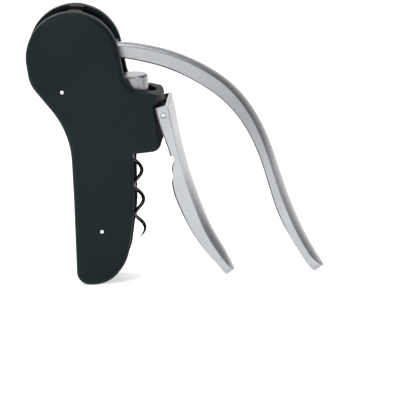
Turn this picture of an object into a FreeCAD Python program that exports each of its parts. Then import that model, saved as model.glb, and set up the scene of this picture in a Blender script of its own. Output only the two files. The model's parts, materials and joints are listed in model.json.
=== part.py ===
import FreeCAD, Part
import Sketcher
import math
import os
import re

# Lever corkscrew with a squeeze trigger.
# Frame: +Z up, floor at Z = 0, +X towards the lever and trigger, Y across the body.
# All drawing is done about the worm axis (X = 0, Y = 0); every sub-part is then
# shifted by frame_shift so that the origin is under the middle of the whole object.

Vector = FreeCAD.Vector
doc = FreeCAD.newDocument("LeverCorkscrew")
sheet = doc.addObject("Spreadsheet::Sheet", "Dims")

# ---------------------------------------------------------------- dimensions
CELLS = {
    "frame_shift": -26.78,
    # body shells
    "body_half": 20.5, "side_wall": 2.6, "edge_round": 3.4,
    "head_x": -38.3, "head_z": 157.4, "head_radius": 31.7, "head_wall": 2.5,
    "back_angle": 186, "front_angle": 8,
    "slot_half": 11.5, "slot_back_angle": 166, "slot_back": -16.0, "slot_round_x": 5.0,
    "neck_recess_radius": 15.6, "stop_top": 92.4,
    "channel_radius": 17.4, "channel_top": 87.5, "channel_bottom": 12.0,
    # pins and screws of the body
    "rear_pin_x": -46.5, "rear_pin_z": 134.7, "foot_pin_x": -24.9, "foot_pin_z": 37.0,
    "pin_radius": 1.3, "pin_ring": 2.1, "pin_ring_depth": 2.0, "pin_fit": 0.05,
    # steel frame plates
    "plate_inner": 11.8, "plate_thick": 2.0,
    # guide pads at the top of the slot
    "pad_centre": 84.4, "pad_span": 17.8, "pad_inner": 29.4, "pad_outer": 31.6,
    "pad_gap": 6.35, "pad_end": 18.4,
    # lever axle, bushes and hub
    "axle_radius": 4.0, "axle_half": 17.6, "running_fit": 0.05, "bush_wall": 1.5,
    "hub_radius": 13.0, "arm_half": 6.0,
    # gear and rack, module 1.5
    "gear_teeth": 33, "gear_module": 1.5, "gear_inner": 6.15, "gear_thick": 3.0,
    "gear_hub_bore": 4.2, "gear_backlash": 0.24, "rack_teeth": 15, "rack_back": 3.4,
    "rack_thick": 3.2, "rack_inner": 6.3,
    # carriage
    "cap_radius": 11.0, "cap_top": 141.3, "cap_bottom": 124.0, "cap_bevel": 1.2,
    "block_bottom": 108.6, "notch_x": -7.9, "notch_y": 6.15,
    "chamber_radius": 6.0, "chamber_low": 111.6, "chamber_high": 129.0,
    # worm
    "worm_pitch": 20.25, "worm_radius": 3.15, "wire_radius": 1.25, "crest_z": 34.4,
    "tip_angle": -50, "helix_top": 106.6, "shank_radius": 2.6, "shank_top": 126.0,
    "weld_radius": 4.6, "weld_low": 105.0, "weld_high": 108.2,
    "tip_length": 4.2, "tip_radius": 0.2,
    # nut
    "nut_radius": 9.0, "nut_bore": 4.85, "nut_bottom": 93.2, "nut_height": 12.8,
    "housing_bottom": 92.6, "housing_height": 15.0, "housing_back": -7.7, "housing_half": 11.2,
    "housing_front": 11.4, "guide_pin_radius": 0.8, "guide_pin_z": 103.7, "guide_pin_in": 2.9,
    # neck stop plate and liner
    "plate_radius": 15.3, "stop_face": 90.3, "stop_thick": 2.0, "stop_bore": 5.3,
    "liner_inner": 15.4, "liner_outer": 17.2, "liner_bottom": 20.0, "liner_top": 87.0,
    "liner_front": -5.0,
    # trigger and its hinge block
    "hinge_x": 21.6, "hinge_z": 116.4, "hinge_pin": 1.35, "hinge_ring": 2.15, "hinge_ring_floor": 21.4,
    "block_half": 19.4, "block_back": 16.05, "trigger_pin_half": 22.6,
    "flange_wall": 2.0, "trigger_wall": 2.0, "spring_wire": 0.3, "spring_radius": 1.75,
    # lip at the front of the collar, above the hinge block
    "lip_seat": 122.3, "lip_nose": 21.3, "lip_side": 15.3, "lip_round": 1.4,
}


def names(text):
    """Point every cell name of a formula at the sheet."""
    return re.sub(r"\b([a-z][a-z0-9]*(?:_[a-z0-9]+)+)\b", r"Dims.\1", str(text))


def add_cells(cells):
    """Write named numbers to the sheet, one row each."""
    for alias, number in cells.items():
        add_cells.row += 1
        sheet.set("A%d" % add_cells.row, alias)
        sheet.set("B%d" % add_cells.row, str(number))
        sheet.setAlias("B%d" % add_cells.row, alias)


add_cells.row = 0
add_cells(CELLS)


def add_stations(prefix, fields, rows):
    """Cells for the sections of a curved handle: prefix_field_number."""
    cells = {}
    for number, row in enumerate(rows):
        for field, amount in zip(fields, row):
            cells["%s_%s_n%d" % (prefix, field, number)] = amount
    add_cells(cells)
    return len(rows)


# Sections along the outer edge: place, half width, depth inwards and crown outwards.
LEVER_SECTIONS = add_stations("lever", ("x", "z", "half", "depth", "crown"), [
    (-36.0, 162.5, 5.9, 9.6, 1.0),
    (-24.0, 162.9, 5.9, 9.3, 1.1),
    (-12.0, 163.0, 5.9, 9.0, 1.2),
    (1.0, 162.1, 5.9, 9.4, 1.2),
    (13.8, 159.3, 6.0, 9.8, 1.3),
    (30.4, 153.9, 6.4, 10.1, 1.4),
    (47.2, 145.4, 7.2, 10.3, 1.6),
    (64.2, 132.9, 8.8, 9.8, 1.8),
    (79.0, 113.8, 11.0, 8.2, 2.1),
    (88.3, 92.4, 12.9, 6.8, 2.4),
    (93.9, 72.4, 14.0, 6.3, 2.6),
    (99.3, 52.8, 14.4, 6.9, 2.7),
    (106.9, 31.4, 14.0, 6.4, 2.5),
    (115.0, 14.6, 12.8, 5.8, 2.1),
    (124.6, -2.0, 11.0, 4.4, 1.6),
])
TRIGGER_SECTIONS = add_stations("trigger", ("x", "z", "half", "depth", "crown"), [
    (24.9, 125.5, 22.8, 8.2, 0.2),
    (26.2, 116.4, 22.8, 8.7, 0.3),
    (27.7, 106.0, 22.6, 7.8, 0.6),
    (29.3, 94.5, 21.5, 6.3, 1.2),
    (31.2, 84.0, 19.4, 6.4, 1.7),
    (34.1, 69.0, 17.0, 10.0, 2.3),
    (38.3, 53.6, 15.2, 10.5, 2.8),
    (44.8, 34.2, 13.8, 8.9, 3.0),
    (51.8, 20.0, 12.6, 7.1, 2.8),
    (57.9, 9.0, 11.2, 5.3, 2.2),
    (64.3, -2.0, 9.6, 4.0, 1.5),
])
doc.recompute()


def value(text):
    """The number that a formula of cells gives."""
    return float(sheet.evalExpression(names(text)))


# ------------------------------------------------------------------ drawing
def bind(thing, prop, text):
    thing.setExpression(prop, names(text))


def new_body(label):
    body = doc.addObject("PartDesign::Body", label)
    body.Label = label
    return body


def plane(body, role):
    return [item for item in body.Origin.OriginFeatures if item.Role == role][0]


def new_sketch(body, role, name, offset=None):
    """A sketch on an origin plane; offset is its distance along the plane's normal."""
    sketch = body.newObject("Sketcher::SketchObject", name)
    sketch.AttachmentSupport = [(plane(body, role), "")]
    sketch.MapMode = "FlatFace"
    if offset is not None:
        bind(sketch, "AttachmentOffset.Base.z", offset)
    return sketch


def fix_point(sketch, geometry, end, x_text, y_text):
    """Dimension one point from the sketch's origin with two formulas."""
    for kind, text in (("DistanceX", x_text), ("DistanceY", y_text)):
        number = sketch.addConstraint(Sketcher.Constraint(kind, -1, 1, geometry, end, value(text)))
        bind(sketch, "Constraints[%d]" % number, text)


def circle(sketch, x_text, y_text, radius_text):
    centre = Vector(value(x_text), value(y_text), 0)
    number = sketch.addGeometry(Part.Circle(centre, Vector(0, 0, 1), value(radius_text)))
    fix_point(sketch, number, 3, x_text, y_text)
    size = sketch.addConstraint(Sketcher.Constraint("Radius", number, value(radius_text)))
    bind(sketch, "Constraints[%d]" % size, radius_text)


def corner_arc(before, corner, after, radius):
    """Tangent points and middle of the round at a corner."""
    back = (before - corner).normalize()
    ahead = (after - corner).normalize()
    half = back.getAngle(ahead) / 2
    run = radius / math.tan(half)
    middle = (back + ahead).normalize() * (radius / math.sin(half) - radius)
    return corner + back * run, corner + middle, corner + ahead * run


def outline(sketch, corners):
    """A closed outline from corners (x, y, radius), each a formula; radius 0 is sharp."""
    spots = [Vector(value(x), value(y), 0) for x, y, r in corners]
    rounds = [value(r) for x, y, r in corners]
    count = len(corners)
    starts, ends, arcs = [], [], {}
    for k in range(count):
        if rounds[k] > 0:
            first, middle, last = corner_arc(spots[k - 1], spots[k], spots[(k + 1) % count], rounds[k])
            arcs[k] = (first, middle, last)
        else:
            first = last = spots[k]
        starts.append(first)
        ends.append(last)
    lines = []
    for k in range(count):
        lines.append(sketch.addGeometry(Part.LineSegment(ends[k], starts[(k + 1) % count])))
    for k in range(count):
        x, y, r = corners[k]
        if k not in arcs:
            sketch.addConstraint(Sketcher.Constraint("Coincident", lines[k - 1], 2, lines[k], 1))
            fix_point(sketch, lines[k], 1, x, y)
            continue
        first, middle, last = arcs[k]
        arc = sketch.addGeometry(Part.Arc(first, middle, last))
        forward = (sketch.getPoint(arc, 1) - first).Length < 1e-6
        near, far = (1, 2) if forward else (2, 1)
        point = sketch.addGeometry(Part.Point(spots[k]), True)
        sketch.addConstraint([
            Sketcher.Constraint("Tangent", lines[k - 1], 2, arc, near),
            Sketcher.Constraint("Tangent", arc, far, lines[k], 1),
            Sketcher.Constraint("PointOnObject", point, 1, lines[k - 1]),
            Sketcher.Constraint("PointOnObject", point, 1, lines[k]),
        ])
        fix_point(sketch, point, 1, x, y)
        size = sketch.addConstraint(Sketcher.Constraint("Radius", arc, rounds[k]))
        bind(sketch, "Constraints[%d]" % size, r)


def box_outline(sketch, x_low, x_high, y_low, y_high, radius="0"):
    outline(sketch, [(x_low, y_low, radius), (x_high, y_low, radius),
                     (x_high, y_high, radius), (x_low, y_high, radius)])


def via_outline(sketch, path):
    """A closed outline of points; an edge with a middle point is an arc through it."""
    spots = [Vector(value(x), value(y), 0) for x, y, via in path]
    edges = []
    for k, (x, y, via) in enumerate(path):
        after = spots[(k + 1) % len(path)]
        if via is None:
            edges.append((sketch.addGeometry(Part.LineSegment(spots[k], after)), 1, 2))
            continue
        middle = Vector(value(via[0]), value(via[1]), 0)
        arc = sketch.addGeometry(Part.Arc(spots[k], middle, after))
        forward = (sketch.getPoint(arc, 1) - spots[k]).Length < 1e-6
        edges.append((arc, 1, 2) if forward else (arc, 2, 1))
    for k, (x, y, via) in enumerate(path):
        edge, first, last = edges[k]
        following = edges[(k + 1) % len(path)]
        sketch.addConstraint(Sketcher.Constraint("Coincident", edge, last, following[0], following[1]))
        fix_point(sketch, edge, first, x, y)
        if via is not None:
            point = sketch.addGeometry(Part.Point(Vector(value(via[0]), value(via[1]), 0)), True)
            sketch.addConstraint(Sketcher.Constraint("PointOnObject", point, 1, edge))
            fix_point(sketch, point, 1, via[0], via[1])


def pad(body, sketch, length, reverse=False, both=False):
    feature = body.newObject("PartDesign::Pad", "Pad_" + sketch.Name)
    feature.Profile = sketch
    bind(feature, "Length", length)
    feature.Reversed = reverse
    feature.Midplane = both
    doc.recompute()
    return feature


def pocket(body, sketch, length=None, reverse=False, both=False):
    """Cut a profile into the body; no length means right through."""
    before = body.Shape.Volume
    feature = body.newObject("PartDesign::Pocket", "Cut_" + sketch.Name)
    feature.Profile = sketch
    if length is None:
        feature.Type = "ThroughAll"
    else:
        bind(feature, "Length", length)
    feature.Reversed = reverse
    feature.Midplane = both
    doc.recompute()
    if body.Shape.Volume > before - 1e-3:
        raise RuntimeError("%s cuts nothing in %s" % (sketch.Name, body.Label))
    return feature


def edges_at(shape, test):
    """Names of the edges whose every sampled point passes the test."""
    found = []
    for number, edge in enumerate(shape.Edges, 1):
        if all(test(edge.valueAt(t)) for t in (edge.FirstParameter, edge.LastParameter,
                                               (edge.FirstParameter + edge.LastParameter) / 2)):
            found.append("Edge%d" % number)
    return found


def finish_edges(body, kind, test, size):
    """Round or bevel the body's edges that pass the test."""
    chosen = edges_at(body.Shape, test)
    if not chosen:
        raise RuntimeError("no edges chosen on " + body.Label)
    base = body.Tip
    feature = body.newObject("PartDesign::" + kind, kind + "_" + body.Name)
    feature.Base = (base, chosen)
    bind(feature, "Radius" if kind == "Fillet" else "Size", size)
    doc.recompute()
    body.Tip = feature
    return feature


def cylinder(label, radius, height, place, along="Z"):
    """A round bar that starts at place (three formulas) and runs along an axis."""
    turns = {"Z": FreeCAD.Rotation(),
             "Y": FreeCAD.Rotation(Vector(1, 0, 0), -90),
             "X": FreeCAD.Rotation(Vector(0, 1, 0), 90)}
    bar = doc.addObject("Part::Cylinder", label)
    bind(bar, "Radius", radius)
    bind(bar, "Height", height)
    bar.Placement = FreeCAD.Placement(Vector(), turns[along])
    for letter, text in zip("xyz", place):
        bind(bar, ".Placement.Base." + letter, text)
    return bar


def fuse(label, shapes):
    joined = doc.addObject("Part::MultiFuse", label)
    joined.Shapes = shapes
    return joined


def cut(label, base, tool):
    result = doc.addObject("Part::Cut", label)
    result.Base = base
    result.Tool = tool
    return result


# Every finished sub-part is listed here under its own name.
finished = {}


def keep(label, thing):
    """Name a finished sub-part and move it along X by the frame's shift."""
    thing.Label = label
    formulas = dict(thing.ExpressionEngine)
    own = formulas.get(".Placement.Base.x", "0")
    thing.setExpression(".Placement.Base.x", "Dims.frame_shift + " + own)
    finished[label] = thing
    return thing


# ------------------------------------------------------------------- shells
def shell_corners():
    """Side outline of the neck, leg and collar, from the head's back round to its front."""
    back = ("head_x + head_radius*cos(back_angle)", "head_z + head_radius*sin(back_angle)", "0")
    front = ("head_x + head_radius*cos(front_angle)", "head_z + head_radius*sin(front_angle)", "0")
    middle = ("head_x", "head_z", "0")
    leg = [("-68.4", "140.6", "24"), ("-42.85", "106.1", "60"), ("-42.9", "62", "300"),
           ("-44.15", "0", "9"), ("-22", "0", "22"), ("-8.6", "15.5", "30"),
           ("-2.2", "50", "80"), ("-0.9", "89.3", "1.5")]
    collar = [("19.5", "90.8", "7"), ("16.2", "lip_seat", "0.8"), ("21.8", "lip_seat", "3.5"),
              ("21.8", "128.7", "3.5"), ("11", "131.6", "8"), ("-2.6", "131.6", "14")]
    return [middle, back] + leg + collar + [front]


def core_corners():
    """Hollow inside the neck and leg, a wall's thickness inside the outline."""
    return [("-66", "156", "0"), ("-64.5", "142", "4"), ("-46.6", "116", "4"),
            ("-39.6", "99", "6"), ("-40.2", "14", "4"), ("-26", "5", "4"), ("-20.2", "16", "3"),
            ("-20.2", "92.4", "0"), ("slot_back", "92.4", "0"), ("slot_back", "156", "0")]


def slot_corners():
    """Region between the shells that the lever sweeps and the carriage climbs."""
    return [("head_x", "head_z", "0"),
            ("head_x + 70*cos(slot_back_angle)", "head_z + 70*sin(slot_back_angle)", "0"),
            ("-60", "230", "0"), ("slot_round_x", "230", "0"),
            ("slot_round_x", "stop_top", "0"), ("slot_back", "stop_top", "0"),
            ("slot_back", "120", "0")]


def build_shell(label, side):
    """One moulded half of the body; side is -1 for the left (Y < 0), +1 for the right."""
    body = new_body(label)
    away = side > 0
    sketch = new_sketch(body, "XZ_Plane", label + "_outline")
    outline(sketch, shell_corners())
    pad(body, sketch, "body_half", reverse=away)
    sketch = new_sketch(body, "XZ_Plane", label + "_head")
    circle(sketch, "head_x", "head_z", "head_radius")
    pad(body, sketch, "body_half", reverse=away)
    outer = side * value("body_half")
    finish_edges(body, "Fillet", lambda p: abs(p.y - outer) < 1e-4, "edge_round")
    cut_lip_front(body, label)
    sketch = new_sketch(body, "XZ_Plane", label + "_head_hollow")
    circle(sketch, "head_x", "head_z", "head_radius - head_wall")
    pocket(body, sketch, "body_half - side_wall", reverse=not away)
    sketch = new_sketch(body, "XZ_Plane", label + "_core")
    outline(sketch, core_corners())
    pocket(body, sketch, "body_half - side_wall", reverse=not away)
    sketch = new_sketch(body, "XZ_Plane", label + "_slot")
    outline(sketch, slot_corners())
    pocket(body, sketch, "slot_half", reverse=not away)
    sketch = new_sketch(body, "XY_Plane", label + "_slot_end", "stop_top")
    circle(sketch, "slot_round_x", "0", "slot_half")
    pocket(body, sketch, None, reverse=True)
    sketch = new_sketch(body, "XY_Plane", label + "_neck_recess", "stop_top")
    circle(sketch, "0", "0", "neck_recess_radius")
    pocket(body, sketch, "stop_top - channel_bottom")
    sketch = new_sketch(body, "XY_Plane", label + "_channel", "channel_top")
    circle(sketch, "0", "0", "channel_radius")
    pocket(body, sketch, "channel_top - channel_bottom")
    cut_hinge_seat(body, label, away)
    cut_pin_holes(body, label, away)
    cut_pad_notch(body, label, side)
    return keep(label, body)


def cut_lip_front(body, label):
    """Bow the collar's lip in plan, so that it stands out most in the middle."""
    sketch = new_sketch(body, "XY_Plane", label + "_lip_front", "lip_seat - 0.05")
    via_outline(sketch, [("lip_side", "-24", ("lip_nose", "0")), ("lip_side", "24", None),
                         ("40", "24", None), ("40", "-24", None)])
    pocket(body, sketch, "12", reverse=True)


def cut_hinge_seat(body, label, away):
    """Flat front of the collar that the hinge block is fixed to."""
    sketch = new_sketch(body, "XZ_Plane", label + "_hinge_seat")
    box_outline(sketch, "block_back - 0.05", "30", "98.6", "122.2")
    pocket(body, sketch, "block_half + 0.1", reverse=not away)


def cut_pin_holes(body, label, away):
    """Two cross holes, each with a ring-shaped counterbore in the outer face."""
    for name, x, z in (("rear", "rear_pin_x", "rear_pin_z"), ("foot", "foot_pin_x", "foot_pin_z")):
        sketch = new_sketch(body, "XZ_Plane", "%s_%s_hole" % (label, name))
        circle(sketch, x, z, "pin_radius + pin_fit")
        pocket(body, sketch, "body_half", reverse=not away)
        offset = "-(body_half - pin_ring_depth)" if away else "body_half - pin_ring_depth"
        sketch = new_sketch(body, "XZ_Plane", "%s_%s_ring" % (label, name), offset)
        circle(sketch, x, z, "pin_ring")
        pocket(body, sketch, "pin_ring_depth + 1", reverse=not away)


def cut_pad_notch(body, label, side):
    """Seat in the head's rim for a guide pad."""
    sketch = new_sketch(body, "XZ_Plane", label + "_pad_notch")
    half = "(pad_span/2 + 0.3)"
    low, high = "(pad_centre - %s)" % half, "(pad_centre + %s)" % half
    inner, outer = "(pad_inner - 0.05)", "(pad_outer + 3)"
    spots = [(inner, low), (outer, low), (outer, high), (inner, high)]
    via_outline(sketch, [("head_x + %s*cos%s" % spot, "head_z + %s*sin%s" % spot, None)
                         for spot in spots])
    pocket(body, sketch, "pad_end + 0.1", reverse=side < 0)


build_shell("left_shell", -1)
build_shell("right_shell", 1)


def build_guide_pad(label, side):
    """Nylon block in the rim that keeps the lever in the middle of the slot."""
    body = new_body(label)
    low, high = "(pad_centre - pad_span/2)", "(pad_centre + pad_span/2)"

    def spot(radius, angle):
        return ("head_x + %s*cos%s" % (radius, angle), "head_z + %s*sin%s" % (radius, angle))

    offset = "pad_gap" if side < 0 else "-pad_gap"
    sketch = new_sketch(body, "XZ_Plane", label + "_sector", offset)
    inner_low, inner_high = spot("pad_inner", low), spot("pad_inner", high)
    outer_low, outer_high = spot("pad_outer", low), spot("pad_outer", high)
    via_outline(sketch, [inner_low + (None,),
                         outer_low + (spot("pad_outer", "(pad_centre)"),),
                         outer_high + (None,),
                         inner_high + (None,)])
    pad(body, sketch, "pad_end - pad_gap", reverse=side > 0)
    return keep(label, body)


build_guide_pad("left_guide_pad", -1)
build_guide_pad("right_guide_pad", 1)


# ------------------------------------------------------------- frame plates
def build_frame_plate(label, side):
    """Stamped steel plate that carries the lever axle inside one shell."""
    body = new_body(label)
    offset = "plate_inner" if side < 0 else "-plate_inner"
    sketch = new_sketch(body, "XZ_Plane", label + "_blank", offset)
    outline(sketch, [("-56", "172", "7"), ("-21", "172", "7"), ("-18.5", "99", "5"),
                     ("-37", "99", "5"), ("-53.5", "129", "7")])
    pad(body, sketch, "plate_thick", reverse=side > 0)
    sketch = new_sketch(body, "XZ_Plane", label + "_holes")
    circle(sketch, "head_x", "head_z", "axle_radius + running_fit")
    circle(sketch, "rear_pin_x", "rear_pin_z", "pin_radius + pin_fit")
    circle(sketch, "-28", "112", "4")
    pocket(body, sketch, None, reverse=side < 0)
    return keep(label, body)


build_frame_plate("left_frame_plate", -1)
build_frame_plate("right_frame_plate", 1)


# --------------------------------------------------------------------- pins
def build_rear_pins():
    """Two short steel pins that fix each shell to its frame plate."""
    length = "body_half - 0.35 - plate_inner"
    left = cylinder("rear_pin_near", "pin_radius", length,
                    ("rear_pin_x", "-(body_half - 0.35)", "rear_pin_z"), "Y")
    right = cylinder("rear_pin_far", "pin_radius", length,
                     ("rear_pin_x", "plate_inner", "rear_pin_z"), "Y")
    group = doc.addObject("Part::Compound", "rear_shell_pins")
    group.Links = [left, right]
    return keep("rear_shell_pins", group)


build_rear_pins()
keep("foot_cross_pin", cylinder("foot_cross_pin", "pin_radius", "2*(body_half - 0.35)",
                                ("foot_pin_x", "-(body_half - 0.35)", "foot_pin_z"), "Y"))
keep("lever_axle", cylinder("lever_axle", "axle_radius", "2*axle_half",
                            ("head_x", "-axle_half", "head_z"), "Y"))


def ring(label, outer, inner, height, place, along):
    """A plain bush or washer."""
    body = cylinder(label + "_outside", outer, height, place, along)
    hole = cylinder(label + "_hole", inner, height, place, along)
    return keep(label, cut(label, body, hole))


ring("left_axle_washer", "7", "axle_radius + running_fit", "2.3",
     ("head_x", "-(plate_inner - 0.1)", "head_z"), "Y")
ring("right_axle_washer", "7", "axle_radius + running_fit", "2.3",
     ("head_x", "gear_inner + gear_thick + 0.25", "head_z"), "Y")


# -------------------------------------------------------------------- lever
def handle_section(body, prefix, number, last, shrink=None):
    """One cross-section of a curved handle, square to its outer edge line."""
    tag = "n%d" % number
    before = "n%d" % max(number - 1, 0)
    after = "n%d" % min(number + 1, last)
    sketch = new_sketch(body, "YZ_Plane", "%s_section_%d%s" % (prefix, number, "_in" if shrink else ""))
    sketch.AttachmentOffset = FreeCAD.Placement(Vector(), FreeCAD.Rotation(Vector(1, 0, 0), 20))
    cell = {key: "%s_%s_%s" % (prefix, key, tag) for key in ("x", "z", "half", "depth", "crown")}
    bind(sketch, "AttachmentOffset.Base.y", cell["z"])
    bind(sketch, "AttachmentOffset.Base.z", cell["x"])
    rise = "%s_z_%s - %s_z_%s" % (prefix, after, prefix, before)
    run = "%s_x_%s - %s_x_%s" % (prefix, after, prefix, before)
    bind(sketch, "AttachmentOffset.Rotation.Angle", "-atan2(%s; %s)" % (rise, run))
    if shrink:
        half = "(%s - flange_wall)" % cell["half"]
        box_outline(sketch, "-" + half, half, "-(%s + 6)" % cell["depth"], "-trigger_wall + " + shrink)
        return sketch
    half, depth, crown = cell["half"], cell["depth"], cell["crown"]
    soft, bevel = "0.9", "1.0"
    corner = ("(%s - %s*0.29)" % (half, soft), "-%s*0.29" % soft)
    via_outline(sketch, [
        ("-(%s - %s)" % (half, bevel), "-" + depth, None),
        ("%s - %s" % (half, bevel), "-" + depth, None),
        (half, "-%s + %s" % (depth, bevel), None),
        (half, "-" + soft, corner),
        ("%s - %s" % (half, soft), "0", ("0", crown)),
        ("-(%s - %s)" % (half, soft), "0", ("-" + corner[0], corner[1])),
        ("-" + half, "-" + soft, None),
        ("-" + half, "-%s + %s" % (depth, bevel), None),
    ])
    return sketch


def loft_through(body, sections):
    feature = body.newObject("PartDesign::AdditiveLoft", "Loft_" + body.Name)
    feature.Profile = sections[0]
    feature.Sections = sections[1:]
    doc.recompute()
    return feature


def round_tip(body, prefix, first, last, back_off, radius):
    """Cut the free end of a handle to a half-round plan, square to its outer face."""
    sketch = new_sketch(body, "YZ_Plane", prefix + "_tip")
    sketch.AttachmentOffset = FreeCAD.Placement(Vector(), FreeCAD.Rotation(Vector(1, 0, 0), 20))
    cell = {key: "%s_%s_n%d" % (prefix, key, last) for key in ("x", "z", "half")}
    bind(sketch, "AttachmentOffset.Base.y", cell["z"])
    bind(sketch, "AttachmentOffset.Base.z", cell["x"])
    rise = "%s - %s_z_n%d" % (cell["z"], prefix, first)
    run = "%s - %s_x_n%d" % (cell["x"], prefix, first)
    bind(sketch, "AttachmentOffset.Rotation.Angle", "-90 deg - atan2(%s; %s)" % (rise, run))
    # In this sketch +y points back up the handle, and y = 0 is its last section.
    wide = "(%s + 8)" % cell["half"]
    shoulder = "(%s + %s)" % (back_off, radius)
    via_outline(sketch, [
        ("-" + radius, shoulder, ("0", back_off)),
        (radius, shoulder, None),
        (wide, shoulder, None),
        (wide, "-12", None),
        ("-" + wide, "-12", None),
        ("-" + wide, shoulder, None),
    ])
    return pocket(body, sketch, "40", both=True)


def build_lever_arm():
    """The long curved handle with its hub, bored for the axle bush."""
    body = new_body("lever_arm")
    last = LEVER_SECTIONS - 1
    loft_through(body, [handle_section(body, "lever", k, last) for k in range(LEVER_SECTIONS)])
    round_tip(body, "lever", last - 2, last, "5.2", "12.6")
    sketch = new_sketch(body, "XZ_Plane", "lever_hub")
    circle(sketch, "head_x", "head_z", "hub_radius")
    pad(body, sketch, "2*arm_half", both=True)
    sketch = new_sketch(body, "XZ_Plane", "lever_bore")
    circle(sketch, "head_x", "head_z", "axle_radius + running_fit + bush_wall")
    for k in range(3):
        angle = 60 + 120 * k
        circle(sketch, "head_x + 9.2*cos(%d)" % angle, "head_z + 9.2*sin(%d)" % angle, "1.55")
    pocket(body, sketch, None, both=True)
    return keep("lever_arm", body)


build_lever_arm()
ring("lever_hub_bush", "axle_radius + running_fit + bush_wall", "axle_radius + running_fit",
     "2*arm_half", ("head_x", "-arm_half", "head_z"), "Y")


def involute(angle):
    return math.tan(angle) - angle


def tooth_points():
    """Right half of a gear tooth on the +X axis: radius and half angle, root to tip."""
    pitch = value("gear_teeth*gear_module/2")
    module = value("gear_module")
    pressure = math.radians(20)
    base = pitch * math.cos(pressure)
    at_pitch = (math.pi * module / 2 - value("gear_backlash")) / 2 / pitch
    points = [(pitch - 1.25 * module - 0.3, at_pitch + involute(pressure))]
    for step in range(4):
        radius = base + (pitch + module - base) * step / 3
        slope = math.acos(base / radius)
        points.append((radius, at_pitch + involute(pressure) - involute(slope)))
    return points


def build_gear(label, side):
    """Toothed sector on the lever's hub that drives the rack; space centred on +X at rest."""
    body = new_body(label)
    offset = "gear_inner" if side < 0 else "-gear_inner"
    sketch = new_sketch(body, "XZ_Plane", label + "_blank", offset)
    circle(sketch, "head_x", "head_z", "gear_teeth*gear_module/2 - 1.25*gear_module")
    pad(body, sketch, "gear_thick", reverse=side > 0)
    sketch = new_sketch(body, "XZ_Plane", label + "_tooth", offset)
    bind(sketch, "AttachmentOffset.Base.x", "head_x")
    bind(sketch, "AttachmentOffset.Base.y", "head_z")
    step = 2 * math.pi / value("gear_teeth")
    flank = tooth_points()
    halves = [(r, step / 2 - a) for r, a in flank] + [(r, step / 2 + a) for r, a in reversed(flank)]
    spots = [Vector(r * math.cos(a), r * math.sin(a), 0) for r, a in halves]
    for k, spot in enumerate(spots):
        sketch.addGeometry(Part.LineSegment(spot, spots[(k + 1) % len(spots)]))
    for k in range(len(spots)):
        sketch.addConstraint(Sketcher.Constraint("Coincident", k, 2, (k + 1) % len(spots), 1))
        sketch.addConstraint(Sketcher.Constraint("Block", k))
    tooth = pad(body, sketch, "gear_thick", reverse=side > 0)
    sector = body.newObject("PartDesign::PolarPattern", label + "_teeth")
    sector.Originals = [tooth]
    sector.Axis = (sketch, ["N_Axis"])
    sector.Reversed = True
    bind(sector, "Angle", "14*360/gear_teeth")
    sector.Occurrences = 15
    body.Tip = sector
    doc.recompute()
    sketch = new_sketch(body, "XZ_Plane", label + "_bores")
    circle(sketch, "head_x", "head_z", "gear_hub_bore")
    for k in range(3):
        angle = 60 + 120 * k
        circle(sketch, "head_x + 9.2*cos(%d)" % angle, "head_z + 9.2*sin(%d)" % angle, "1.55")
    pocket(body, sketch, None, reverse=side < 0)
    return keep(label, body)


build_gear("left_lever_gear", -1)
build_gear("right_lever_gear", 1)


def build_gear_rivets():
    """Three rivets through both gears and the hub."""
    rivets = []
    for k in range(3):
        angle = 60 + 120 * k
        rivets.append(cylinder("gear_rivet_%d" % k, "1.5", "2*(gear_inner + gear_thick)",
                               ("head_x + 9.2*cos(%d)" % angle, "-(gear_inner + gear_thick)",
                                "head_z + 9.2*sin(%d)" % angle), "Y"))
    group = doc.addObject("Part::Compound", "gear_rivets")
    group.Links = rivets
    return keep("gear_rivets", group)


build_gear_rivets()


# ----------------------------------------------------------------- carriage
def build_rack(label, side):
    """Straight rack on the carriage, one tooth centred level with the lever's axle."""
    body = new_body(label)
    offset = "rack_inner" if side < 0 else "-rack_inner"
    pitch_x = "(head_x + gear_teeth*gear_module/2)"
    root = "(%s + 1.25*gear_module)" % pitch_x
    low = "(head_z - 13.5*pi*gear_module)"
    high = "(head_z + 1.5*pi*gear_module)"
    sketch = new_sketch(body, "XZ_Plane", label + "_bar", offset)
    box_outline(sketch, root, "%s + rack_back" % root, low, high)
    pad(body, sketch, "rack_thick", reverse=side > 0)
    sketch = new_sketch(body, "XZ_Plane", label + "_tooth", offset)
    half = "(pi*gear_module/4 - gear_backlash/2)"
    tip_half = "(%s - gear_module*tan(20))" % half
    root_half = "(%s + 1.45*gear_module*tan(20))" % half
    top_z = "(head_z + pi*gear_module)"
    tip = "(%s - gear_module)" % pitch_x
    foot = "(%s + 1.45*gear_module)" % pitch_x
    via_outline(sketch, [
        (foot, "%s - %s" % (top_z, root_half), None),
        (foot, "%s + %s" % (top_z, root_half), None),
        (tip, "%s + %s" % (top_z, tip_half), None),
        (tip, "%s - %s" % (top_z, tip_half), None),
    ])
    tooth = pad(body, sketch, "rack_thick", reverse=side > 0)
    row = body.newObject("PartDesign::LinearPattern", label + "_teeth")
    row.Originals = [tooth]
    row.Direction = (plane(body, "Z_Axis"), [""])
    row.Reversed = True
    bind(row, "Length", "14*pi*gear_module")
    bind(row, "Occurrences", "rack_teeth")
    body.Tip = row
    doc.recompute()
    sketch = new_sketch(body, "XZ_Plane", label + "_dowel_holes")
    for level in ("114", "134"):
        circle(sketch, "-9.7", level, "1.05")
    pocket(body, sketch, None, reverse=side < 0)
    return keep(label, body)


build_rack("left_rack", -1)
build_rack("right_rack", 1)


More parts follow.
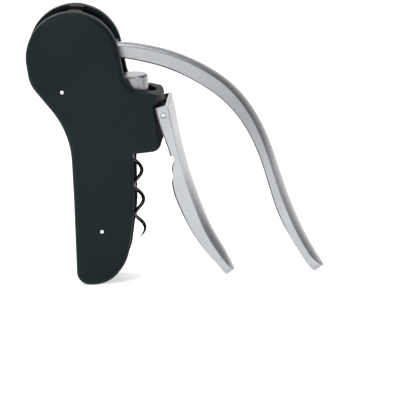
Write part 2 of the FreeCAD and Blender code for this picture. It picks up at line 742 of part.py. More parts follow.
def turned(label, low, high, bore_low, bore_high, bevel=None):
    """A round carriage piece, notched for the racks and bored for the worm's head."""
    body = new_body(label)
    sketch = new_sketch(body, "XY_Plane", label + "_round", low)
    circle(sketch, "0", "0", "cap_radius")
    pad(body, sketch, "%s - %s" % (high, low))
    if bevel:
        top = value(high)
        finish_edges(body, "Chamfer", lambda p: abs(p.z - top) < 1e-4, bevel)
    for side, name in ((1, "right"), (-1, "left")):
        sketch = new_sketch(body, "XY_Plane", "%s_%s_notch" % (label, name), low)
        edges = ("notch_y", "12") if side > 0 else ("-12", "-notch_y")
        box_outline(sketch, "-14", "notch_x", edges[0], edges[1])
        pocket(body, sketch, None, reverse=True)
    sketch = new_sketch(body, "XY_Plane", label + "_chamber", bore_low)
    circle(sketch, "0", "0", "chamber_radius")
    pocket(body, sketch, "%s - %s" % (bore_high, bore_low), reverse=True)
    sketch = new_sketch(body, "XZ_Plane", label + "_dowel")
    level = "114" if label == "carriage_block" else "134"
    circle(sketch, "-9.7", level, "1.05")
    pocket(body, sketch, None, both=True)
    return body


def build_carriage():
    """Silver cap on a dark block; the worm's head turns in the chamber between them."""
    cap = turned("carriage_cap", "cap_bottom", "cap_top", "cap_bottom", "chamber_high", "cap_bevel")
    keep("carriage_cap", cap)
    block = turned("carriage_block", "block_bottom", "cap_bottom", "chamber_low", "cap_bottom")
    sketch = new_sketch(block, "XY_Plane", "carriage_block_throat", "block_bottom")
    circle(sketch, "0", "0", "shank_radius + 0.4")
    pocket(block, sketch, None, reverse=True)
    keep("carriage_block", block)
    dowels = [cylinder("rack_dowel_%s" % level, "1", "19", ("-9.7", "-9.5", level), "Y")
              for level in ("114", "134")]
    group = doc.addObject("Part::Compound", "rack_dowels")
    group.Links = dowels
    keep("rack_dowels", group)


build_carriage()
ring("thrust_washer", "5.6", "shank_radius + 0.4", "1.2", ("0", "0", "chamber_low + 0.1"), "Z")


# --------------------------------------------------------------------- worm
def build_worm():
    """Coated steel wire helix with a drawn point."""
    helix = doc.addObject("Part::Helix", "worm_path")
    bind(helix, "Pitch", "worm_pitch")
    bind(helix, "Radius", "worm_radius")
    bind(helix, "Height", "helix_top - (crest_z + worm_pitch*tip_angle/360)")
    helix.Placement = FreeCAD.Placement(Vector(), FreeCAD.Rotation(Vector(0, 0, 1), value("tip_angle")))
    bind(helix, ".Placement.Base.z", "crest_z + worm_pitch*tip_angle/360")
    angle = math.radians(value("tip_angle"))
    rise = value("worm_pitch") / 2 / math.pi
    radius = value("worm_radius")
    start = Vector(radius * math.cos(angle), radius * math.sin(angle),
                   value("crest_z + worm_pitch*tip_angle/360"))
    along = Vector(-radius * math.sin(angle), radius * math.cos(angle), rise).normalize()
    wire = doc.addObject("Part::Circle", "worm_wire")
    bind(wire, "Radius", "wire_radius")
    wire.Placement = FreeCAD.Placement(start, FreeCAD.Rotation(Vector(0, 0, 1), along))
    coil = doc.addObject("Part::Sweep", "worm_coil")
    coil.Sections = [wire]
    coil.Spine = (helix, [])
    coil.Solid = True
    coil.Frenet = True
    point = doc.addObject("Part::Cone", "worm_point")
    bind(point, "Radius1", "wire_radius")
    bind(point, "Radius2", "tip_radius")
    bind(point, "Height", "tip_length")
    outward = Vector(math.cos(angle), math.sin(angle), 0)
    lean = (along * -1 + outward * -0.12 + Vector(0, 0, -0.35)).normalize()
    point.Placement = FreeCAD.Placement(start, FreeCAD.Rotation(Vector(0, 0, 1), lean))
    knuckle = doc.addObject("Part::Sphere", "worm_knuckle")
    bind(knuckle, "Radius", "wire_radius")
    knuckle.Placement = FreeCAD.Placement(start, FreeCAD.Rotation())
    return keep("worm", fuse("worm", [coil, point, knuckle]))


def build_worm_shank():
    """Turned shank with the collar that the wire's upper end is welded into."""
    collar = cylinder("worm_collar", "weld_radius", "weld_high - weld_low", ("0", "0", "weld_low"))
    rod = cylinder("worm_rod", "shank_radius", "shank_top - weld_low", ("0", "0", "weld_low"))
    return keep("worm_shank", fuse("worm_shank", [collar, rod]))


build_worm()
build_worm_shank()
ring("worm_head", "5.5", "shank_radius + 0.02", "5", ("0", "0", "chamber_low + 1.5"), "Z")
ring("worm_circlip", "4.2", "shank_radius + 0.02", "1", ("0", "0", "chamber_low + 6.8"), "Z")


# ------------------------------------------------------- nut and neck stop
def build_worm_nut():
    """Nylon nut, cross-drilled for its two guide dowels."""
    body = new_body("worm_nut")
    sketch = new_sketch(body, "XY_Plane", "worm_nut_ring", "nut_bottom")
    circle(sketch, "0", "0", "nut_radius - 0.05")
    circle(sketch, "0", "0", "nut_bore")
    pad(body, sketch, "nut_height")
    sketch = new_sketch(body, "XZ_Plane", "worm_nut_cross_hole")
    circle(sketch, "0", "guide_pin_z", "guide_pin_radius + pin_fit")
    pocket(body, sketch, None, both=True)
    return keep("worm_nut", body)


def build_nut_housing():
    """Moulded block that carries the nut in the bottom of the collar."""
    body = new_body("nut_housing")
    sketch = new_sketch(body, "XY_Plane", "nut_housing_block", "housing_bottom")
    outline(sketch, [("housing_back", "-housing_half", "1"), ("housing_front", "-housing_half", "6.2"),
                     ("housing_front", "housing_half", "6.2"), ("housing_back", "housing_half", "1")])
    pad(body, sketch, "housing_height")
    sketch = new_sketch(body, "XY_Plane", "nut_housing_seat", "nut_bottom")
    circle(sketch, "0", "0", "nut_radius")
    pocket(body, sketch, "nut_height + 0.1", reverse=True)
    sketch = new_sketch(body, "XY_Plane", "nut_housing_bore", "housing_bottom")
    circle(sketch, "0", "0", "nut_bore + 0.3")
    pocket(body, sketch, None, reverse=True)
    return keep("nut_housing", body)


def build_nut_guide_pins():
    """Two dowels in the nut that reach in between the worm's turns."""
    reach = "nut_radius - 0.4 - guide_pin_in"
    near = cylinder("guide_pin_near", "guide_pin_radius", reach,
                    ("0", "-(nut_radius - 0.4)", "guide_pin_z"), "Y")
    far = cylinder("guide_pin_far", "guide_pin_radius", reach,
                   ("0", "guide_pin_in", "guide_pin_z"), "Y")
    group = doc.addObject("Part::Compound", "nut_guide_pins")
    group.Links = [near, far]
    keep("nut_guide_pins", group)


build_worm_nut()
build_nut_housing()
build_nut_guide_pins()
ring("neck_stop_plate", "plate_radius", "stop_bore", "stop_thick", ("0", "0", "stop_face"), "Z")


def build_neck_liner():
    """Rubber half-tube in the leg that a bottle's neck leans against."""
    body = new_body("neck_liner")
    sketch = new_sketch(body, "XY_Plane", "neck_liner_ring", "liner_bottom")
    circle(sketch, "0", "0", "liner_outer")
    circle(sketch, "0", "0", "liner_inner")
    pad(body, sketch, "liner_top - liner_bottom")
    sketch = new_sketch(body, "XZ_Plane", "neck_liner_front")
    outline(sketch, [("30", "-5", "0"), ("30", "100", "0"), ("liner_front", "100", "0"),
                     ("liner_front", "52", "30"), ("-13.5", "15", "0"), ("-13.5", "-5", "0")])
    pocket(body, sketch, None, both=True)
    return keep("neck_liner", body)


build_neck_liner()


# ------------------------------------------------------------------ trigger
def build_hinge_block():
    """Black lug block on the collar's front that the trigger hangs on."""
    body = new_body("hinge_block")
    sketch = new_sketch(body, "XZ_Plane", "hinge_block_side")
    outline(sketch, [("block_back", "98.7", "0"), ("19.6", "98.7", "1.6"), ("21.9", "103.5", "4"),
                     ("23.6", "114", "3"), ("23.5", "118.4", "1.6"), ("21.2", "121.9", "2"),
                     ("block_back", "121.9", "0")])
    pad(body, sketch, "2*block_half", both=True)
    sketch = new_sketch(body, "XZ_Plane", "hinge_block_bore")
    circle(sketch, "hinge_x", "hinge_z", "hinge_pin + 0.03")
    pocket(body, sketch, None, both=True)
    sketch = new_sketch(body, "XZ_Plane", "hinge_block_spring_slot")
    box_outline(sketch, "18.4", "26", "112", "124")
    pocket(body, sketch, "7", both=True)
    return keep("hinge_block", body)


build_hinge_block()
keep("trigger_pin", cylinder("trigger_pin", "hinge_pin", "2*trigger_pin_half",
                             ("hinge_x", "-trigger_pin_half", "hinge_z"), "Y"))


def build_trigger_spring():
    """Torsion spring round the pin, with one leg on the block."""
    helix = doc.addObject("Part::Helix", "spring_path")
    helix.Pitch = 0.9
    helix.Height = 5.4
    bind(helix, "Radius", "spring_radius")
    helix.Placement = FreeCAD.Placement(Vector(), FreeCAD.Rotation(Vector(1, 0, 0), -90))
    bind(helix, ".Placement.Base.x", "hinge_x")
    bind(helix, ".Placement.Base.y", "-2.7")
    bind(helix, ".Placement.Base.z", "hinge_z")
    start = Vector(value("hinge_x + spring_radius"), -2.7, value("hinge_z"))
    wire = doc.addObject("Part::Circle", "spring_wire_round")
    bind(wire, "Radius", "spring_wire")
    wire.Placement = FreeCAD.Placement(start, FreeCAD.Rotation(Vector(0, 0, 1), Vector(0, 0.071, -1)))
    coil = doc.addObject("Part::Sweep", "spring_coil")
    coil.Sections = [wire]
    coil.Spine = (helix, [])
    coil.Solid = True
    coil.Frenet = True
    leg = cylinder("spring_leg", "spring_wire", "4.3",
                   ("hinge_x - spring_radius", "0", "hinge_z - 4.3"))
    return keep("trigger_spring", fuse("trigger_spring", [coil, leg]))


build_trigger_spring()


def build_trigger_handle():
    """Channel-shaped squeeze handle: two hooked flanges and a crowned outer wall."""
    body = new_body("trigger_handle")
    last = TRIGGER_SECTIONS - 1
    loft_through(body, [handle_section(body, "trigger", k, last) for k in range(TRIGGER_SECTIONS)])
    round_tip(body, "trigger", last - 2, last, "5.25", "11.2")
    hollow = body.newObject("PartDesign::SubtractiveLoft", "trigger_hollow")
    inner = [handle_section(body, "trigger", k, last, "0") for k in range(last - 1)]
    hollow.Profile = inner[0]
    hollow.Sections = inner[1:]
    body.Tip = hollow
    doc.recompute()
    sketch = new_sketch(body, "XZ_Plane", "trigger_top_trim")
    outline(sketch, [("10", "119.6", "0"), ("25.2", "123.7", "2.8"), ("26.9", "116.5", "0"),
                     ("40", "116.5", "0"), ("40", "140", "0"), ("10", "140", "0")])
    pocket(body, sketch, None, both=True)
    sketch = new_sketch(body, "XZ_Plane", "trigger_upper_notch")
    outline(sketch, [("20", "87.2", "0"), ("26.4", "87.2", "0.6"), ("27", "80.4", "0.3"),
                     ("20", "78.9", "0")])
    pocket(body, sketch, None, both=True)
    sketch = new_sketch(body, "XZ_Plane", "trigger_lower_notch")
    outline(sketch, [("20", "79.1", "0"), ("24.7", "79.1", "0"), ("25.8", "69.6", "0.3"),
                     ("20", "67.9", "0")])
    pocket(body, sketch, None, both=True)
    sketch = new_sketch(body, "XZ_Plane", "trigger_bores")
    circle(sketch, "hinge_x", "hinge_z", "hinge_pin + running_fit")
    pocket(body, sketch, None, both=True)
    for name, offset in (("left", "hinge_ring_floor"), ("right", "-hinge_ring_floor")):
        sketch = new_sketch(body, "XZ_Plane", "trigger_%s_counterbore" % name, offset)
        circle(sketch, "hinge_x", "hinge_z", "hinge_ring")
        pocket(body, sketch, "1.6", reverse=name == "left")
    return keep("trigger_handle", body)


build_trigger_handle()


def build_lip_hook():
    """Steel jaw across the channel, with two ledges that catch under a bottle's lip."""
    body = new_body("lip_hook")
    sketch = new_sketch(body, "XZ_Plane", "lip_hook_side")
    outline(sketch, [("27.8", "90", "0.5"), ("26.4", "87.2", "0"), ("27", "80.4", "0.3"),
                     ("24.8", "79.8", "0.3"), ("25.8", "69.6", "0.3"), ("23.8", "68.6", "0.4"),
                     ("25.2", "61", "1"), ("34.5", "57.6", "1"), ("31.4", "70", "0")])
    pad(body, sketch, "26.4", both=True)
    return keep("lip_hook", body)


build_lip_hook()

# ------------------------------------------------------------------- output
doc.recompute()

problems = []
for thing in doc.Objects:
    if "Invalid" in thing.State or "Error" in thing.State:
        problems.append("%s: %s" % (thing.Name, thing.State))
for label, thing in finished.items():
    if thing.Shape.isNull() or not thing.Shape.isValid():
        problems.append(label + " has no valid shape")
if problems:
    raise RuntimeError("; ".join(problems))

os.makedirs("parts", exist_ok=True)
for label, thing in finished.items():
    thing.Shape.exportStep("parts/%s.step" % label)
print(len(finished), "sub-parts written")
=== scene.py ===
"""Lever corkscrew: finishes for the CAD frame, drawn pieces, a studio stage and a camera."""

import json
import math

import bmesh
import bpy
from bpy.props import FloatProperty, FloatVectorProperty, IntProperty, PointerProperty, StringProperty
from mathutils import Matrix, Quaternion, Vector


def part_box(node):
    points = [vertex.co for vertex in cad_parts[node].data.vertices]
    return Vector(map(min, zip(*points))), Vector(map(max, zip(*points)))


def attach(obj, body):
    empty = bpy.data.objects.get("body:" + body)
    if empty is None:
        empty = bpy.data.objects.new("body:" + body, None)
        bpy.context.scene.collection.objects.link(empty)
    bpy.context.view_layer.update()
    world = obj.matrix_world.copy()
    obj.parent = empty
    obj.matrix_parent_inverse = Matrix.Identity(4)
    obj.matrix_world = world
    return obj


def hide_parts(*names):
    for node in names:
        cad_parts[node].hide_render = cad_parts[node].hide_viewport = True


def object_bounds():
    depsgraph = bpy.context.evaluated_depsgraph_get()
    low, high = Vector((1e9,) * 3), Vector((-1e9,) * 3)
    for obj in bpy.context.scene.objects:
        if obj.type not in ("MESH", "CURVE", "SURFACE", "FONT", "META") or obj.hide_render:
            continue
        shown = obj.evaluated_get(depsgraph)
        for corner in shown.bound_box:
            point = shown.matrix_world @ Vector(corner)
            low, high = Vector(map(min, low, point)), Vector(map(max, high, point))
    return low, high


bl_info = {
    "name": "Lever Corkscrew",
    "version": (1, 0, 0),
    "blender": (4, 5, 0),
    "location": "View3D > Sidebar > Corkscrew",
    "description": "Dresses a lever corkscrew's frame with its finishes and drawn pieces",
    "category": "Object",
}

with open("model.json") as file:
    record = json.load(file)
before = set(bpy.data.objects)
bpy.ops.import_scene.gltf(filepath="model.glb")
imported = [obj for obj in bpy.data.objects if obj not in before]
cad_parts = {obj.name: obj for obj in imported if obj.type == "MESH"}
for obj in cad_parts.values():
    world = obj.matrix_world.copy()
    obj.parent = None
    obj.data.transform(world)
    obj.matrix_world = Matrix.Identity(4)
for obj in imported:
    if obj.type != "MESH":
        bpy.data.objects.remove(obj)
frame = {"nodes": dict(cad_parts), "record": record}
NODES = frame["nodes"]
CAD_LOW, CAD_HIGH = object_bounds()
MM = 0.001


def middle(node):
    """Centre of a CAD node's box."""
    low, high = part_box(node)
    return (low + high) / 2


WORM_AXIS = middle("worm_shank")
WORM_LOW, WORM_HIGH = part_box("worm")
LINER_LOW, LINER_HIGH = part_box("neck_liner")


def linear(hex_colour):
    """An sRGB hex colour as linear red, green and blue."""
    parts = [int(hex_colour[k:k + 2], 16) / 255 for k in (1, 3, 5)]
    return tuple(c / 12.92 if c <= 0.04045 else ((c + 0.055) / 1.055) ** 2.4 for c in parts)


# ------------------------------------------------------------------ settings
class WormSettings(bpy.types.PropertyGroup):
    """Sizes of the coiled worm."""

    wire: FloatProperty(
        name="Wire diameter", description="Thickness of the coated wire",
        default=2.5 * MM, min=0.5 * MM, unit="LENGTH", precision=5)
    pitch: FloatProperty(
        name="Pitch", description="Rise of the coil in one turn",
        default=20.25 * MM, min=1 * MM, unit="LENGTH", precision=5)
    point: FloatProperty(
        name="Point length", description="Length along the wire that is drawn down to the point",
        default=11 * MM, min=1 * MM, unit="LENGTH", precision=5)


class LinerSettings(bpy.types.PropertyGroup):
    """Grip ribs of the rubber neck liner."""

    count: IntProperty(name="Ribs", description="Number of ribs up the liner", default=13, min=2)
    low_margin: FloatProperty(
        name="Low margin", description="Plain rubber below the lowest rib",
        default=36 * MM, min=0, unit="LENGTH", precision=5)
    high_margin: FloatProperty(
        name="High margin", description="Plain rubber above the highest rib",
        default=4 * MM, min=0, unit="LENGTH", precision=5)
    inset: FloatProperty(
        name="Inset", description="From the liner's outside to the middle of a rib",
        default=1.75 * MM, min=0, unit="LENGTH", precision=5)
    sweep: FloatProperty(
        name="Sweep", description="Angle that a rib spans", default=math.radians(128),
        subtype="ANGLE")
    rib: FloatProperty(
        name="Rib radius", description="Half the thickness of one rib",
        default=0.45 * MM, min=0.1 * MM, unit="LENGTH", precision=5)


class FinishSettings(bpy.types.PropertyGroup):
    """Colours of the outer finishes, as sRGB hex values."""

    shell: StringProperty(name="Shell", description="Soft-touch moulding", default="#121E20")
    satin: StringProperty(name="Satin metal", description="Lever and trigger", default="#ADAFB2")
    cap: StringProperty(name="Cap", description="Turned top of the carriage", default="#A0A2A4")
    coating: StringProperty(name="Worm", description="Non-stick coating", default="#0B0C0D")


class StageSettings(bpy.types.PropertyGroup):
    """Camera, lights and floor."""

    lens: FloatProperty(name="Lens", description="Focal length in millimetres", default=800, min=20)
    distance: FloatProperty(
        name="Distance", description="From the camera to the aim", default=6.056, unit="LENGTH")
    azimuth: FloatProperty(
        name="Azimuth", description="Camera's turn round the object", default=math.radians(4),
        subtype="ANGLE")
    elevation: FloatProperty(
        name="Elevation", description="Camera's height over the horizon", default=math.radians(12),
        subtype="ANGLE")
    roll: FloatProperty(
        name="Roll", description="Tilt of the camera about its view line",
        default=math.radians(-3.3), subtype="ANGLE")
    aim: FloatVectorProperty(
        name="Aim", description="Aim point from the worm's axis on the floor",
        default=(0.0416, 0.0, 0.0519), subtype="TRANSLATION", unit="LENGTH")
    sky: FloatProperty(name="Sky", description="Brightness of the surround", default=0.8, min=0)
    key: FloatProperty(name="Key light", description="Watts of the main softbox", default=9, min=0)


# ----------------------------------------------------------------- materials
def add(tree, kind, settings=None, links=None):
    """Add a node, set its attributes or input values, and link inputs from outputs."""
    node = tree.nodes.new(kind)
    for key, amount in (settings or {}).items():
        if isinstance(key, str) and hasattr(node, key):
            setattr(node, key, amount)
        else:
            node.inputs[key].default_value = amount
    for key, source in (links or {}).items():
        tree.links.new(source, node.inputs[key])
    return node


def new_material(name):
    """An empty node material and its tree."""
    material = bpy.data.materials.new(name)
    material.use_nodes = True
    material.node_tree.nodes.clear()
    return material, material.node_tree


def shade(tree, settings, colour, roughness, bump=None):
    """Close a material: one Principled shader with its colour, roughness and bump linked."""
    links = {"Base Color": colour, "Roughness": roughness}
    if bump is not None:
        links["Normal"] = bump
    shader = add(tree, "ShaderNodeBsdfPrincipled", settings, links)
    add(tree, "ShaderNodeOutputMaterial", None, {"Surface": shader.outputs["BSDF"]})


def place(tree, scale=(1, 1, 1), move=(0, 0, 0)):
    """Object coordinates in metres, moved and stretched."""
    spot = add(tree, "ShaderNodeTexCoord").outputs["Object"]
    mapping = add(tree, "ShaderNodeMapping", {"Location": move, "Scale": scale}, {"Vector": spot})
    return mapping.outputs["Vector"]


def noise(tree, vector, size_mm, detail=2.0):
    """Noise whose features are about size_mm across."""
    texture = add(tree, "ShaderNodeTexNoise", {"Scale": 1000 / size_mm, "Detail": detail},
                  {"Vector": vector})
    return texture.outputs["Fac"]


def fade(tree, source, start, end, low, high):
    """Map a value from one range to another, held at the ends."""
    node = add(tree, "ShaderNodeMapRange", {"From Min": start, "From Max": end, "To Min": low,
                                            "To Max": high}, {"Value": source})
    return node.outputs["Result"]


def span(tree, fac, low, high, start=0.3, end=0.7):
    """Stretch a 0 to 1 pattern to a range of values."""
    return fade(tree, fac, start, end, low, high)


def blend_colours(tree, fac, first, second):
    """Two hex colours mixed by a 0 to 1 pattern."""
    ramp = add(tree, "ShaderNodeValToRGB", None, {"Fac": fac})
    ramp.color_ramp.elements[0].position = 0.32
    ramp.color_ramp.elements[1].position = 0.68
    ramp.color_ramp.elements[0].color = linear(first) + (1.0,)
    ramp.color_ramp.elements[1].color = linear(second) + (1.0,)
    return ramp.outputs["Color"]


def dent(tree, height, depth_mm, strength=1.0, before=None):
    """A bump of real depth."""
    links = {"Height": height}
    if before is not None:
        links["Normal"] = before
    bump = add(tree, "ShaderNodeBump", {"Strength": strength, "Distance": depth_mm * MM}, links)
    return bump.outputs["Normal"]


def toned(hex_colour, share):
    """The same hex colour with each channel multiplied by a share."""
    parts = [min(255, int(int(hex_colour[k:k + 2], 16) * share)) for k in (1, 3, 5)]
    return "#%02X%02X%02X" % tuple(parts)


def soft_touch_plastic(colour):
    """Moulded body with a rubbery paint: dull, with a velvety edge and a spark-eroded grain."""
    material, tree = new_material("soft_touch_plastic")
    at = place(tree)
    cloud = noise(tree, at, 34, 3)
    grain = noise(tree, at, 0.55, 1)
    tint = blend_colours(tree, cloud, toned(colour, 0.93), toned(colour, 1.07))
    rough = span(tree, noise(tree, at, 6, 4), 0.46, 0.58)
    bump = dent(tree, cloud, 0.12, 0.25, dent(tree, grain, 0.02, 0.35))
    shade(tree, {"Specular IOR Level": 0.12, "Sheen Weight": 0.03, "Sheen Roughness": 0.4},
          tint, rough, bump)
    return material


def satin_zinc_plate(colour):
    """Zinc alloy casting, bead blasted and satin chrome plated: a soft, even metal sheen."""
    material, tree = new_material("satin_zinc_plate")
    at = place(tree)
    beads = noise(tree, at, 0.4, 1)
    tint = blend_colours(tree, noise(tree, at, 22, 3), toned(colour, 0.98), toned(colour, 1.02))
    rough = span(tree, noise(tree, at, 3, 4), 0.27, 0.35)
    bump = dent(tree, beads, 0.008, 0.35)
    shade(tree, {"Metallic": 1.0}, tint, rough, bump)
    return material


def turned_cap_metal(colour):
    """Turned and brushed cap: fine rings about the worm's axis."""
    ring_gap = 1.78 * MM
    material, tree = new_material("turned_cap_metal")
    at = place(tree, move=(-WORM_AXIS.x, -WORM_AXIS.y, 0))
    rings = add(tree, "ShaderNodeTexWave", {
        "wave_type": "RINGS", "rings_direction": "Z", "Scale": math.tau / 20 / ring_gap,
        "Distortion": 0.1, "Detail": 2.0, "Detail Scale": 3.0}, {"Vector": at}).outputs["Fac"]
    rough = span(tree, rings, 0.3, 0.38, 0.0, 1.0)
    tint = blend_colours(tree, noise(tree, at, 8, 3), toned(colour, 0.97), toned(colour, 1.02))
    shade(tree, {"Metallic": 1.0}, tint, rough, dent(tree, rings, 0.004, 0.25))
    return material


def stamped_steel():
    """Stamped and tumbled steel: a grey metal with faint rolling lines."""
    material, tree = new_material("stamped_steel")
    at = place(tree, scale=(1, 1, 9))
    lines = noise(tree, at, 4, 5)
    tint = blend_colours(tree, lines, "#9B9EA1", "#B4B7BA")
    rough = span(tree, lines, 0.3, 0.45)
    shade(tree, {"Metallic": 1.0}, tint, rough, dent(tree, lines, 0.01, 0.4))
    return material


def ground_steel_pin():
    """Centreless-ground steel: bright, with fine marks round the pin."""
    material, tree = new_material("ground_steel_pin")
    at = place(tree, scale=(1, 8, 1))
    marks = noise(tree, at, 3, 3)
    tint = blend_colours(tree, marks, "#C4C6C8", "#D8D9DA")
    shade(tree, {"Metallic": 1.0}, tint, span(tree, marks, 0.2, 0.3), dent(tree, marks, 0.006, 0.3))
    return material


def nonstick_coating(colour):
    """Baked fluoropolymer over steel wire: near black, glossy, with a slight orange peel."""
    material, tree = new_material("nonstick_coating")
    at = place(tree)
    peel = noise(tree, at, 1.1, 2)
    tint = blend_colours(tree, peel, toned(colour, 0.9), toned(colour, 1.15))
    shade(tree, {"Coat Weight": 0.5, "Coat Roughness": 0.08}, tint, span(tree, peel, 0.2, 0.32),
          dent(tree, peel, 0.02, 0.3))
    return material


def moulded_nylon():
    """Glass-filled nylon: black, with a dry speckled grain."""
    material, tree = new_material("moulded_nylon")
    at = place(tree)
    speck = noise(tree, at, 0.8, 3)
    tint = blend_colours(tree, speck, "#080A0B", "#101314")
    shade(tree, {"Specular IOR Level": 0.2}, tint, span(tree, speck, 0.5, 0.66),
          dent(tree, speck, 0.02, 0.4))
    return material


def near_black_collar_moulding():
    """Moulding under the collar: flat near-black, darker than the shell and the nylon."""
    material, tree = new_material("near_black_collar_moulding")
    at = place(tree)
    grain = noise(tree, at, 0.7, 2)
    # near-black tint, the darkest colour in the scene
    tint = blend_colours(tree, grain, "#050506", "#0A0B0B")
    shade(tree, {"Specular IOR Level": 0.2}, tint, span(tree, grain, 0.6, 0.75),
          dent(tree, grain, 0.02, 0.3))
    return material


def sintered_bronze():
    """Oil-filled sintered bronze: dull brown-gold with open pores."""
    material, tree = new_material("sintered_bronze")
    at = place(tree)
    pores = noise(tree, at, 0.35, 4)
    tint = blend_colours(tree, pores, "#6E5433", "#A68653")
    shade(tree, {"Metallic": 1.0}, tint, span(tree, pores, 0.38, 0.55), dent(tree, pores, 0.03, 0.5))
    return material


def liner_rubber():
    """Matt rubber of the neck liner, slightly mottled."""
    material, tree = new_material("liner_rubber")
    at = place(tree)
    mottle = noise(tree, at, 1.6, 4)
    tint = blend_colours(tree, mottle, "#0F0F10", "#19191A")
    shade(tree, {"Specular IOR Level": 0.3}, tint, span(tree, mottle, 0.68, 0.85),
          dent(tree, mottle, 0.04, 0.4))
    return material


MATERIALS = {}


def make_materials(finishes):
    """Make every finish, keyed by the CAD's material slots."""
    MATERIALS.update({
        "shell": soft_touch_plastic(finishes.shell),
        "nylon": moulded_nylon(),
        "hinge_black": near_black_collar_moulding(),
        "satin_alloy": satin_zinc_plate(finishes.satin),
        "cap_alloy": turned_cap_metal(finishes.cap),
        "steel": stamped_steel(),
        "pin_steel": ground_steel_pin(),
        "bronze": sintered_bronze(),
        "worm_coating": nonstick_coating(finishes.coating),
        "liner_rubber": liner_rubber(),
    })


# ------------------------------------------------------------ geometry nodes
def new_tree(name, inputs):
    """An empty geometry tree with named inputs (name, socket type, default)."""
    tree = bpy.data.node_groups.new(name, "GeometryNodeTree")
    tree.interface.new_socket("Geometry", in_out="OUTPUT", socket_type="NodeSocketGeometry")
    for label, kind, default in inputs:
        socket = tree.interface.new_socket(label, in_out="INPUT", socket_type=kind)
        if default is not None:
            socket.default_value = default
    return tree, add(tree, "NodeGroupInput")


def maths(tree, operation, first, second=None):
    """A Math node; each operand is a number or an output."""
    node = add(tree, "ShaderNodeMath", {"operation": operation})
    for k, operand in enumerate((first, second)):
        if operand is None:
            continue
        if isinstance(operand, (int, float)):
            node.inputs[k].default_value = operand
        else:
            tree.links.new(operand, node.inputs[k])
    return node.outputs["Value"]


def finish_tree(tree, geometry, material):
    """End a geometry tree: real mesh with its material set."""
    real = add(tree, "GeometryNodeRealizeInstances", None, {"Geometry": geometry})
    coated = add(tree, "GeometryNodeSetMaterial", {"Material": material},
                 {"Geometry": real.outputs["Geometry"]})
    add(tree, "NodeGroupOutput", None, {"Geometry": coated.outputs["Geometry"]})


def baked(name, tree, values):
    """Run a geometry tree with its inputs set and keep the result as a plain mesh object."""
    seed = bpy.data.objects.new(name + "_seed", bpy.data.meshes.new(name + "_seed"))
    bpy.context.scene.collection.objects.link(seed)
    modifier = seed.modifiers.new("Shape", "NODES")
    modifier.node_group = tree
    for socket in tree.interface.items_tree:
        if socket.in_out == "INPUT" and socket.name in values:
            modifier[socket.identifier] = values[socket.name]
    graph = bpy.context.evaluated_depsgraph_get()
    mesh = bpy.data.meshes.new_from_object(seed.evaluated_get(graph), depsgraph=graph)
    seed.modifiers.remove(modifier)
    bpy.data.objects.remove(seed)
    if not mesh.polygons:
        raise RuntimeError(name + " came out empty")
    piece = bpy.data.objects.new(name, mesh)
    bpy.context.scene.collection.objects.link(piece)
    return piece


def smooth(piece, angle=40):
    """Smooth shading, with edges sharper than the angle kept crisp."""
    mesh = piece.data
    mesh.polygons.foreach_set("use_smooth", [True] * len(mesh.polygons))
    form = bmesh.new()
    form.from_mesh(mesh)
    bmesh.ops.remove_doubles(form, verts=form.verts, dist=1e-7)
    bmesh.ops.recalc_face_normals(form, faces=form.faces)
    for edge in form.edges:
        if len(edge.link_faces) == 2:
            edge.smooth = edge.calc_face_angle(0) < math.radians(angle)
    form.to_mesh(mesh)
    form.free()


def worm_tree():
    """A wire that follows a helix, drawn down to a point at its lower end."""
    tree, given = new_tree("worm_coil", [
        ("Axis X", "NodeSocketFloat", 0.0), ("Axis Y", "NodeSocketFloat", 0.0),
        ("Bottom", "NodeSocketFloat", 0.03), ("Height", "NodeSocketFloat", 0.075),
        ("Coil Radius", "NodeSocketFloat", 0.003), ("Pitch", "NodeSocketFloat", 0.02),
        ("Start", "NodeSocketFloat", 0.0), ("Wire Radius", "NodeSocketFloat", 0.00125),
        ("Point Rise", "NodeSocketFloat", 0.006)])
    value = given.outputs
    tip_reach = 0.84
    thinnest = 0.1
    line = add(tree, "GeometryNodeCurvePrimitiveLine", {"End": (0, 0, 1)})
    fine = add(tree, "GeometryNodeResampleCurve", {"Count": 420},
               {"Curve": line.outputs["Curve"]})
    along = add(tree, "GeometryNodeSplineParameter").outputs["Factor"]
    rise = maths(tree, "MULTIPLY", along, value["Height"])
    turn = maths(tree, "MULTIPLY", maths(tree, "DIVIDE", rise, value["Pitch"]), math.tau)
    angle = maths(tree, "ADD", turn, value["Start"])
    drawn = maths(tree, "MINIMUM", maths(tree, "DIVIDE", rise, value["Point Rise"]), 1.0)
    taper = maths(tree, "POWER", drawn, 0.62)
    inward = maths(tree, "ADD", maths(tree, "MULTIPLY", taper, 1 - tip_reach), tip_reach)
    reach = maths(tree, "MULTIPLY", inward, value["Coil Radius"])
    x = maths(tree, "MULTIPLY", maths(tree, "COSINE", angle), reach)
    y = maths(tree, "MULTIPLY", maths(tree, "SINE", angle), reach)
    spot = add(tree, "ShaderNodeCombineXYZ", None, {
        "X": maths(tree, "ADD", x, value["Axis X"]), "Y": maths(tree, "ADD", y, value["Axis Y"]),
        "Z": maths(tree, "ADD", rise, value["Bottom"])})
    path = add(tree, "GeometryNodeSetPosition", None, {
        "Geometry": fine.outputs["Curve"], "Position": spot.outputs["Vector"]})
    thick = maths(tree, "MAXIMUM", taper, thinnest)
    ring = add(tree, "GeometryNodeCurvePrimitiveCircle", {"Resolution": 20},
               {"Radius": value["Wire Radius"]})
    skin = add(tree, "GeometryNodeCurveToMesh", {"Fill Caps": True}, {
        "Curve": path.outputs["Geometry"], "Profile Curve": ring.outputs["Curve"],
        "Scale": thick})
    finish_tree(tree, skin.outputs["Mesh"], MATERIALS["worm_coating"])
    return tree


